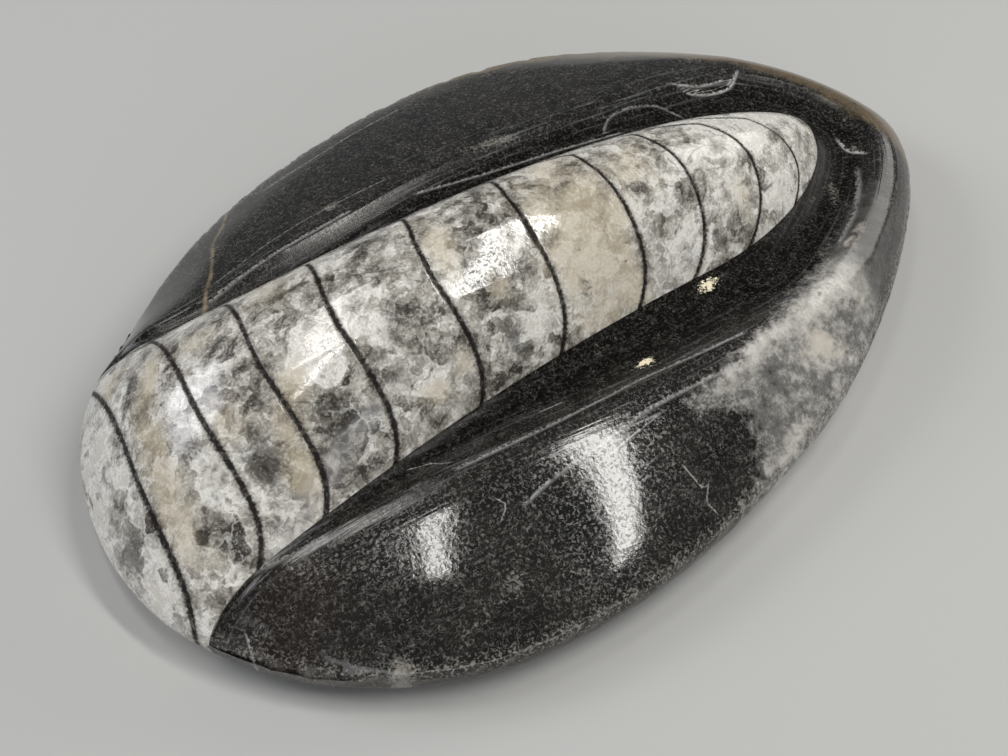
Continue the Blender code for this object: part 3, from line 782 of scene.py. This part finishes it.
def calcite_material(look):
    """Polished calcite: cloudy, angular crystals that look deep under a glassy polish."""
    made, tree, shader, at, stored = new_material(
        "polished_calcite", "to_septum", "septum", "warm", "pale", "smoke", "crystal", "crack_offset",
        "crack_strength", "to_edge", "low_wall")
    # the place bent slowly and then quickly, so that noise and crystals look smeared and jagged
    slow = add(tree, NOISE, {"Vector": at, "Scale": 0.45, "Detail": 2.0})["Color"]
    bent = add(tree, VECTOR_MATH, {0: slow, 1: (1.6, 1.6, 1.6), 2: at}, operation="MULTIPLY_ADD")[0]
    quick = add(tree, NOISE, {"Vector": at, "Scale": 1.6, "Detail": 2.0})["Color"]
    jagged = add(tree, VECTOR_MATH, {0: quick, 1: (0.7, 0.7, 0.7), 2: bent}, operation="MULTIPLY_ADD")[0]
    # scale per millimetre, detail and roughness, from patches a chamber wide down to grain
    areas, clouds, mottle, smears, grain = (
        add(tree, NOISE, {"Vector": vector, "Scale": scale, "Detail": detail, "Roughness": roughness})[0]
        for vector, scale, detail, roughness in (
            (at, 0.13, 1.0, 0.5), (bent, 0.36, 3.0, 0.5), (bent, 0.95, 4.0, 0.55), (jagged, 1.9, 3.0, 0.5),
            (at, 3.6, 2.0, 0.6)))
    per_mm = MM / look.crystal_size
    cells, chips = (
        add(tree, "ShaderNodeSeparateColor", {
            0: add(tree, CELLS, {"Vector": jagged, "Scale": scale})["Color"]})[0]
        for scale in (per_mm, 2.9 * per_mm))
    seams = add(tree, CELLS, {"Vector": jagged, "Scale": per_mm}, feature="DISTANCE_TO_EDGE")["Distance"]

    # the pale spots lift the tone, and at both ends they are painted light
    tone = weighted(tree, -1.93, (areas, 1.0), (clouds, 1.2), (mottle, 0.75), (smears, 0.6), (grain, 0.5),
                    (cells, 0.44), (chips, 0.4), (stored["pale"], 0.34))
    tone = weighted(tree, tone, (weighted(tree, -0.18, (cells, 0.36)), stored["crystal"]))
    stone = add(tree, RAMP, {0: tone}, stops=(
        (0.0, "#403c36"), (1.0, "#f7f5ef"), (0.22, "#706c65"), (0.5, "#aaa69d"), (0.75, "#d8d4cb")))[0]

    seam = add(tree, RANGE, {"Value": seams, "From Min": 0.05, "From Max": 0.0})[0]
    seam = add(tree, MATH, {0: seam, 1: stored["crystal"]}, operation="MULTIPLY")[0]
    seam = add(tree, MATH, {0: seam, 1: mottle}, operation="MULTIPLY")[0]
    specks = add(tree, RANGE, {"Value": smears, "From Min": 0.33, "From Max": 0.28})[0]
    some = add(tree, RANGE, {"Value": clouds, "From Min": 0.52, "From Max": 0.44, "To Max": 0.7})[0]
    specks = add(tree, MATH, {0: specks, 1: some}, operation="MULTIPLY")[0]
    # where the shell meets the stone it is darkened: the brown of the shell's wall and painted contact shade
    wall_and_contact_shade = weighted(tree, stored["to_edge"], (mottle, 0.8))
    wall_and_contact_shade = add(tree, RANGE, {"Value": wall_and_contact_shade, "From Min": 0.95, "From Max": 0.5, "To Max": 0.75})[0]
    # the sutures, in millimetres from their middle with a ragged edge
    ragged = weighted(tree, weighted(tree, -0.16, (grain, 0.32)), (stored["to_septum"], 1.0 / MM))
    half = look.septum_width / MM / 2.0
    rust = add(tree, RANGE, {"Value": ragged, "From Min": half + 0.3, "From Max": half - 0.05,
                             "To Max": 0.42})[0]
    core = add(tree, RANGE, {"Value": ragged, "From Min": half + 0.05, "From Max": half - 0.1})[0]
    worn = add(tree, RANGE, {"Value": smears, "From Min": 0.36, "From Max": 0.5, "To Min": 0.72,
                             "To Max": 0.97})[0]
    core = add(tree, MATH, {0: core, 1: worn}, operation="MULTIPLY")[0]
    smoke_colour = list(look.smoke_colour)
    stone = layered(
        tree, stone,
        (seam, "#f6f4ee"),
        (crossing(tree, clouds, 0.47, 0.01, mottle, 0.6), smoke_colour),
        (crossing(tree, mottle, 0.53, 0.014, grain, 0.5), "#f6f4ee"),
        (patchy(tree, stored["warm"], clouds, 0.4, 0.95, 0.6), list(look.warm_colour)),
        (specks, smoke_colour),
        (patchy(tree, stored["smoke"], smears, 0.55, 0.95, 0.75), smoke_colour),
        (drawn_line(tree, stored["crack_offset"], stored["crack_strength"], grain), smoke_colour),
        # the shell's brown wall, and painted contact shade where it meets the stone
        (wall_and_contact_shade, "#4b4034"),
        (patchy(tree, stored["low_wall"], mottle, 0.5, 1.0, 0.6), "#b0a58f"),
        (rust, "#54483b"),
        (core, list(look.septum_colour)))
    tree.links.new(stone, shader.inputs["Base Color"])

    # a mirror polish with dull pits, so bright reflections look speckled
    gloss = add(tree, RANGE, {"Value": clouds, "From Min": 0.3, "From Max": 0.7, "To Min": 0.06,
                              "To Max": 0.13})[0]
    pitted = add(tree, RANGE, {"Value": grain, "From Min": 0.54, "From Max": 0.6, "To Max": 0.3})[0]
    dull = add(tree, MATH, {0: pitted, 1: gloss}, operation="ADD")[0]
    tree.links.new(weighted(tree, dull, (stored["septum"], 0.4)), shader.inputs["Roughness"])
    pits = add(tree, "ShaderNodeBump", {"Height": weighted(tree, grain, (mottle, 2.0)), "Strength": 1.0,
                                        "Distance": look.grain_depth})[0]
    tree.links.new(pits, shader.inputs["Normal"])
    # the sutures hardly shine
    shine = add(tree, RANGE, {"Value": core, "To Min": 0.5, "To Max": 0.12})[0]
    shader.inputs["Specular IOR Level"].default_value = 0.5
    tree.links.new(shine, shader.inputs["Specular IOR Level"])
    # light sinks a little way into the calcite
    shader.inputs["IOR"].default_value = 1.6
    shader.inputs["Subsurface Weight"].default_value = 0.12
    shader.inputs["Subsurface Radius"].default_value = (1.0, 0.9, 0.8)
    shader.inputs["Subsurface Scale"].default_value = 0.5 * MM
    return made


def limestone_material(look):
    """Polished black limestone: a dark mirror full of fine grey shell debris, pale calcite at one end."""
    made, tree, shader, at, stored = new_material(
        "polished_black_limestone", "from_ridge", "haze", "haze_pale", "haze_smooth", "cream", "smudge",
        "rind", "rim_band", "glint", "brown", "pale_offset", "pale_strength", "vein_offset", "vein_strength",
        "chip")
    ridge = stored["from_ridge"]
    # scale per millimetre, detail, roughness and distortion
    areas, flecks, debris, blots, strokes, patches, swells = (
        add(tree, NOISE, {"Vector": at, "Scale": scale, "Detail": detail, "Roughness": roughness,
                          "Distortion": distortion})[0]
        for scale, detail, roughness, distortion in (
            (0.18, 4.0, 0.6, 0.0), (3.2, 3.0, 0.65, 0.6), (0.55, 6.0, 0.68, 0.4), (1.0, 5.0, 0.62, 0.2),
            (1.9, 1.0, 0.5, 1.0), (0.7, 2.0, 0.5, 0.0), (1.5, 3.0, 0.6, 0.0)))
    stone = add(tree, RAMP, {0: areas}, stops=((0.3, "#100f0e"), (0.7, "#24221e")))[0]
    # painted shade: the channel beside the shell is darkened towards its floor
    channel_shade = add(tree, RANGE, {"Value": ridge, "From Min": 1.0, "From Max": -2.0, "To Max": 0.75})[0]

    # fine flecks, curved strokes and little broken rings of shell, fewer in the channel
    open_ground = add(tree, RANGE, {"Value": ridge, "From Min": -2.5, "From Max": 1.5, "To Min": 0.26,
                                    "To Max": 0.42})[0]
    fleck = add(tree, RANGE, {"Value": flecks, "From Min": 0.52, "From Max": 0.72, "To Max": open_ground})[0]
    stroke = crossing(tree, strokes, 0.5, 0.02, patches, 1.0)
    stroke = add(tree, MATH, {0: stroke, 1: open_ground}, operation="MULTIPLY")[0]
    some = add(tree, RANGE, {"Value": debris, "From Min": 0.54, "From Max": 0.64})[0]
    bright = add(tree, RANGE, {"Value": flecks, "From Min": 0.68, "From Max": 0.76, "To Max": 0.7})[0]
    bright = add(tree, MATH, {0: bright, 1: some}, operation="MULTIPLY")[0]
    rings = add(tree, CELLS, {"Vector": at, "Scale": 0.42})["Distance"]
    ring = crossing(tree, rings, 0.3, 0.03, flecks, 0.8)
    ring = add(tree, MATH, {0: ring, 1: some}, operation="MULTIPLY")[0]
    speckle = add(tree, RANGE, {"Value": flecks, "From Min": 0.5, "From Max": 0.62, "To Max": 0.75})[0]
    speckle = add(tree, MATH, {0: speckle, 1: stored["rim_band"]}, operation="MULTIPLY")[0]
    brown = add(tree, MATH, {0: stored["brown"], 1: 0.3}, operation="MULTIPLY")[0]

    # fine parallel grinding marks along the channel's ridge; their bluish grey is partly a painted reflection
    x = add(tree, "ShaderNodeSeparateXYZ", {0: at})[0]
    slow = add(tree, MATH, {0: x, 1: 0.09}, operation="MULTIPLY")[0]
    fast = add(tree, MATH, {0: ridge, 1: 2.4}, operation="MULTIPLY")[0]
    along = add(tree, "ShaderNodeCombineXYZ", {0: slow, 1: fast})[0]
    ground = add(tree, NOISE, {"Vector": along, "Scale": 1.0, "Detail": 3.0, "Roughness": 0.6})[0]
    from_crest = add(tree, MATH, {0: ridge}, operation="ABSOLUTE")[0]
    near_crest = add(tree, RANGE, {"Value": from_crest, "From Min": 4.0, "From Max": 0.5, "To Min": 0.12,
                                   "To Max": 1.0})[0]
    grinding_sheen = add(tree, RANGE, {"Value": ground, "From Min": 0.55, "From Max": 0.75, "To Max": 0.6})[0]
    grinding_sheen = add(tree, MATH, {0: grinding_sheen, 1: near_crest}, operation="MULTIPLY")[0]

    # the pale end: smoky grey calcite with white blotches and wisps, and a soft ragged border
    haze_pale = stored["haze_pale"]
    haze = weighted(tree, stored["haze"], (patches, 0.4), (blots, 1.0), (flecks, 0.7), (haze_pale, 0.3))
    haze = add(tree, RANGE, {"Value": haze, "From Min": 1.34, "From Max": 1.86, "To Max": 0.92})[0]
    haze_tone = weighted(tree, 0.12, (patches, 0.26), (blots, 0.28), (flecks, 0.18), (haze_pale, 0.17))
    haze_tone = add(tree, RAMP, {0: haze_tone}, stops=(
        (0.38, "#4a4947"), (0.7, "#ece8e0"), (0.49, "#7b7975"), (0.57, "#a8a59f")))[0]
    even = add(tree, MATH, {0: stored["haze_smooth"], 1: 0.85}, operation="MULTIPLY")[0]
    haze_tone = layered(tree, haze_tone, (crossing(tree, patches, 0.5, 0.016, blots, 0.6), "#c9c6bf"),
                        (even, "#3c3b39"))

    stone = layered(
        tree, stone,
        # painted shade in the channel
        (channel_shade, "#070605"),
        (brown, "#33241e"),
        (fleck, list(look.fleck_colour)),
        (stroke, "#aaa7a0"),
        (bright, "#c6c3bb"),
        (ring, "#8d8a83"),
        # grinding marks, their colour partly a painted reflection along the ridge
        (grinding_sheen, "#8b8d90"),
        (patchy(tree, stored["smudge"], flecks, 0.6, 1.0, 0.75), "#97938a"),
        (haze, haze_tone),
        (patchy(tree, stored["cream"], debris, 0.68, 1.0, 0.8), "#cfc8bb"),
        (speckle, "#a19c93"),
        (patchy(tree, stored["rind"], debris, 0.64, 1.1, 0.75), list(look.rind_colour)),
        # pale debris and grinding marks, and the painted ridge highlight
        (drawn_line(tree, stored["pale_offset"], stored["pale_strength"], flecks), "#c4c3c0"),
        (drawn_line(tree, stored["vein_offset"], stored["vein_strength"], debris), "#8f8067"),
        # painted highlight: cream specks where the lamp glitters on the channel's grinding pits
        (patchy(tree, stored["glint"], flecks, 0.83, 0.93, 1.0), "#fff4d6"),
        (stored["chip"], "#6f6b65"))
    tree.links.new(stone, shader.inputs["Base Color"])

    # mirror-like on the wings, satin in the channel, dull where chipped
    gloss = add(tree, RANGE, {"Value": ridge, "From Min": 2.2, "From Max": -0.8, "To Min": 0.06,
                              "To Max": 0.22})[0]
    pitted = add(tree, RANGE, {"Value": flecks, "From Min": 0.52, "From Max": 0.6, "To Max": 0.16})[0]
    dull = add(tree, MATH, {0: pitted, 1: gloss}, operation="ADD")[0]
    tree.links.new(weighted(tree, dull, (stored["chip"], 0.4)), shader.inputs["Roughness"])
    scratches = add(tree, MATH, {0: ground, 1: near_crest}, operation="MULTIPLY")[0]
    pits = add(tree, "ShaderNodeBump", {"Height": weighted(tree, swells, (scratches, 3.2)), "Strength": 1.0,
                                        "Distance": look.grain_depth})[0]
    tree.links.new(pits, shader.inputs["Normal"])
    # the channel shines less, and in streaks along its grinding marks
    shine = add(tree, RANGE, {"Value": ridge, "From Min": -3.0, "From Max": 0.0, "To Min": 0.1,
                              "To Max": 0.42})[0]
    streaky = add(tree, RANGE, {"Value": ground, "From Min": 0.44, "From Max": 0.6, "To Min": 0.25,
                                "To Max": 1.0})[0]
    streaky = add(tree, MIX, {0: channel_shade, 2: 1.0, 3: streaky})[0]
    shine = add(tree, MATH, {0: shine, 1: streaky}, operation="MULTIPLY")[0]
    shader.inputs["Specular IOR Level"].default_value = 0.4
    tree.links.new(shine, shader.inputs["Specular IOR Level"])
    shader.inputs["IOR"].default_value = 1.56
    return made


def look_along(back, upright):
    """A turn whose local Z points back and whose local Y is as near upright as it can be."""
    back = Vector(back).normalized()
    right = Vector(upright).cross(back).normalized()
    return Matrix((right, back.cross(right), back)).transposed().to_4x4()


def add_camera():
    """Above and in front of the shell's near side, turned a little to its wide end."""
    back = Vector((math.sin(VIEW_TURN) * math.cos(VIEW_CLIMB), -math.cos(VIEW_TURN) * math.cos(VIEW_CLIMB),
                   math.sin(VIEW_CLIMB)))
    data = bpy.data.cameras.new("camera")
    data.lens = LENS
    data.clip_start = 0.01
    camera = bpy.data.objects.new("camera", data)
    at = Vector(place(np.array(VIEW_AIM) + VIEW_DISTANCE * np.array(back)))
    roll = Matrix.Rotation(VIEW_ROLL, 4, "Z")
    camera.matrix_world = Matrix.Translation(at) @ look_along(back, (0.0, 0.0, 1.0)) @ roll
    bpy.context.scene.collection.objects.link(camera)
    bpy.context.scene.camera = camera


def add_light(name, toward, along, width, length, distance, radiance, colour):
    """A soft box that faces the stone."""
    data = bpy.data.lights.new(name, "AREA")
    data.shape = "RECTANGLE"
    data.size, data.size_y = width, length
    data.energy = radiance * width * length * math.pi
    data.color = linear(colour)[:3]
    light = bpy.data.objects.new(name, data)
    away = Matrix.Translation(Vector(toward).normalized() * distance)
    light.matrix_world = away @ look_along(toward, along)
    bpy.context.scene.collection.objects.link(light)


def claim(piece, node):
    """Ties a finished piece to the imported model."""
    piece.data.set_sharp_from_angle(angle=SHARP)
    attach(piece, "root")
    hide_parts(node)


class CalciteLook(bpy.types.PropertyGroup):
    """Sizes and colours of the fossil itself."""
    septum_width: FloatProperty(
        name="Septum Width", description="Width of the dark sutures", default=0.46 * MM, unit="LENGTH",
        precision=5)
    groove_depth: FloatProperty(
        name="Groove Depth", description="How deep the sutures are worn", default=0.06 * MM, unit="LENGTH",
        precision=5)
    raggedness: FloatProperty(
        name="Raggedness", description="How far a suture's edges wander", default=0.2 * MM, unit="LENGTH",
        precision=5)
    waviness: FloatProperty(
        name="Waviness", description="Height of the polish's slow waves", default=0.05 * MM, unit="LENGTH",
        precision=5)
    crystal_size: FloatProperty(
        name="Crystal Size", description="Size of the calcite crystals", default=2.8 * MM, unit="LENGTH",
        precision=5)
    grain_depth: FloatProperty(
        name="Grain Depth", description="Relief of the polished grain", default=0.005 * MM, unit="LENGTH",
        precision=6)
    warm_colour: FloatVectorProperty(
        name="Warm Bands", description="Colour of the beige bands", default=linear("#cfc2a8"),
        subtype="COLOR", size=4)
    smoke_colour: FloatVectorProperty(
        name="Smoky Calcite", description="Colour of the dark patches, specks and hairline cracks",
        default=linear("#35322e"), subtype="COLOR", size=4)
    septum_colour: FloatVectorProperty(
        name="Septa", description="Colour of the sutures", default=linear("#0e0b08"), subtype="COLOR", size=4)


class LimestoneLook(bpy.types.PropertyGroup):
    """Sizes and colours of the stone round the fossil."""
    chip_size: FloatProperty(
        name="Chip Size", description="Size of the chips in the rim", default=1.2 * MM, unit="LENGTH",
        precision=5)
    chip_depth: FloatProperty(
        name="Chip Depth", description="Depth of the chips in the rim", default=0.35 * MM, unit="LENGTH",
        precision=5)
    chip_band: FloatProperty(
        name="Chip Band", description="How far from the rim chips reach", default=1.1 * MM, unit="LENGTH",
        precision=5)
    waviness: FloatProperty(
        name="Waviness", description="Height of the polish's slow waves", default=0.06 * MM, unit="LENGTH",
        precision=5)
    grain_depth: FloatProperty(
        name="Grain Depth", description="Relief of the polished grain", default=0.011 * MM, unit="LENGTH",
        precision=6)
    fleck_colour: FloatVectorProperty(
        name="Flecks", description="Colour of the fine flecks", default=linear("#8a8781"), subtype="COLOR",
        size=4)
    rind_colour: FloatVectorProperty(
        name="Rind", description="Colour of the weathered far rim", default=linear("#75654d"),
        subtype="COLOR", size=4)


class StageLook(bpy.types.PropertyGroup):
    """The plain floor and the lights."""
    floor_colour: FloatVectorProperty(
        name="Floor", description="Colour of the floor", default=linear("#c4c4c2"), subtype="COLOR", size=4)
    key: FloatProperty(
        name="Soft Boxes", description="Radiance of the brightest soft boxes; the others get a share of it",
        default=20.0)
    fill: FloatProperty(name="Fill", description="Strength of the even light all round", default=0.2)


class FOSSIL_OT_calcite_shell(bpy.types.Operator):
    """Builds the calcite-filled shell with its worn sutures"""
    bl_idname = "fossil.calcite_shell"
    bl_label = "Calcite Shell"

    def execute(self, context):
        look = context.scene.calcite_look
        envelope = stone_body("envelope", lambda x, y: shoulder_height(x, y) + ENVELOPE_CLEAR)
        body = cut(shell_body("whole_shell", True), "INTERSECT", envelope, "shell")
        x, y, z = point_places(body.data)
        u = np.clip(shell_share(x, y), -1.0, 1.0)
        half = shell_half_width(x)
        across = half * np.arcsin(u)
        crack_offset, crack_strength = near_lines(x, across, CRACKS)
        width_share = np.clip(half / HALF_WIDTH, *SEPTUM_SHARES) * (1.0 + NEAR_WIDER * np.maximum(-u, 0.0))
        store(body.data,
              to_septum=to_septum(x, u) / width_share * MM,
              to_edge=half * (math.pi / 2.0 - np.abs(np.arcsin(u))),
              low_wall=smooth_step(*LOW_WALL, rim_height(x, y) - z),
              warm=soft_spots(x, across, WARM_SPOTS),
              pale=soft_spots(x, across, PALE_AND_LIT_SPOTS),
              smoke=soft_spots(x, across, SMOKE_SPOTS),
              crystal=soft_spots(x, across, CRYSTAL_SPOTS),
              crack_offset=crack_offset,
              crack_strength=crack_strength)
        piece = worked(body, septa_tree(), "calcite_shell", septum_width=look.septum_width,
                       groove_depth=look.groove_depth, raggedness=look.raggedness, waviness=look.waviness,
                       material=calcite_material(look))
        claim(piece, "orthoceras_shell")
        return {"FINISHED"}


class FOSSIL_OT_limestone(bpy.types.Operator):
    """Builds the black limestone with its channel, its wings and its chipped rim"""
    bl_idname = "fossil.limestone"
    bl_label = "Limestone"

    def execute(self, context):
        look = context.scene.limestone_look
        whole = stone_body("stone", lambda x, y: skirt(x, y, ground_height(x, y)))
        body = cut(whole, "DIFFERENCE", shell_body("bed", False), "bedded_stone")
        x, y, z = point_places(body.data)
        above_rim = z - rim_height(x, y)
        rim_way = np.hypot(distance_to(RIM, x, y), above_rim)
        from_shell, _, width = channel_split(x, y)
        in_haze, in_rind = (depth_inside(closed_curve(outline, LINE_STEPS), x, y)
                            for outline in (HAZE_OUTLINE, RIND_OUTLINE))
        pale_offset, pale_strength = near_lines(x, y, PALE_LINES_AND_RIDGE_HIGHLIGHT)
        vein_offset, vein_strength = near_lines(x, y, BEIGE_VEIN)
        store(body.data,
              to_rim=rim_way * MM,
              from_ridge=from_shell - width,
              rim_band=(1.0 - smooth_step(*RIM_BAND, rim_way)) * smooth_step(*RIM_TOP, above_rim),
              haze=smooth_step(*HAZE_EDGE, in_haze),
              haze_smooth=smooth_step(*HAZE_FADES, x),
              haze_pale=soft_spots(x, y, HAZE_PALE_SPOTS),
              rind=smooth_step(*RIND_EDGE, in_rind),
              cream=soft_spots(x, y, CREAM_SPOTS),
              smudge=soft_spots(x, y, SMUDGE_SPOTS),
              glint=soft_spots(x, y, PAINTED_GLINT_SPOTS),
              brown=soft_spots(x, y, BROWN_SPOTS),
              pale_offset=pale_offset,
              pale_strength=pale_strength,
              vein_offset=vein_offset,
              vein_strength=vein_strength)
        piece = worked(body, rim_tree(), "black_limestone", chip_size=look.chip_size,
                       chip_depth=look.chip_depth, chip_band=look.chip_band, waviness=look.waviness,
                       material=limestone_material(look))
        claim(piece, "limestone_matrix")
        return {"FINISHED"}


class FOSSIL_OT_stage(bpy.types.Operator):
    """Sets up the floor, the soft boxes and the camera"""
    bl_idname = "fossil.stage"
    bl_label = "Stage"

    def execute(self, context):
        look = context.scene.stage_look
        bpy.ops.mesh.primitive_plane_add(size=FLOOR_SIZE)
        floor = context.object
        floor.name = "floor"
        paper = bpy.data.materials.new("floor_paper")
        paper.use_nodes = True
        shader = paper.node_tree.nodes["Principled BSDF"]
        shader.inputs["Base Color"].default_value = look.floor_colour
        shader.inputs["Roughness"].default_value = 0.9
        floor.data.materials.append(paper)
        for name, (toward, along, width, length, distance, share, colour) in SOFT_BOXES.items():
            add_light(name, toward, along, width, length, distance, look.key * share, colour)
        world = bpy.data.worlds.new("even_light")
        world.use_nodes = True
        background = world.node_tree.nodes["Background"].inputs
        background["Color"].default_value = linear("#dfe3e8")
        background["Strength"].default_value = look.fill
        context.scene.world = world
        context.scene.view_settings.view_transform = "Standard"
        add_camera()
        return {"FINISHED"}


class FOSSIL_PT_panel(bpy.types.Panel):
    """The fossil's settings and its steps"""
    bl_idname = "FOSSIL_PT_panel"
    bl_label = "Polished Orthoceras"
    bl_space_type = "VIEW_3D"
    bl_region_type = "UI"
    bl_category = "Fossil"

    def draw(self, context):
        for look, operator in STEPS:
            box = self.layout.box()
            settings = getattr(context.scene, look)
            for name in settings.bl_rna.properties.keys():
                if name not in ("name", "rna_type"):
                    box.prop(settings, name)
            box.operator(operator)


STEPS = (("calcite_look", "fossil.calcite_shell"), ("limestone_look", "fossil.limestone"),
         ("stage_look", "fossil.stage"))
LOOKS = {"calcite_look": CalciteLook, "limestone_look": LimestoneLook, "stage_look": StageLook}
CLASSES = (CalciteLook, LimestoneLook, StageLook, FOSSIL_OT_calcite_shell, FOSSIL_OT_limestone,
           FOSSIL_OT_stage, FOSSIL_PT_panel)


def register():
    for kind in CLASSES:
        bpy.utils.register_class(kind)
    for name, kind in LOOKS.items():
        setattr(bpy.types.Scene, name, bpy.props.PointerProperty(type=kind))


def unregister():
    for name in LOOKS:
        delattr(bpy.types.Scene, name)
    for kind in reversed(CLASSES):
        bpy.utils.unregister_class(kind)


def main():
    register()
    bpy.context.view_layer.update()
    bpy.ops.fossil.calcite_shell()
    bpy.ops.fossil.limestone()
    bpy.ops.fossil.stage()


if __name__ == "__main__":
    main()
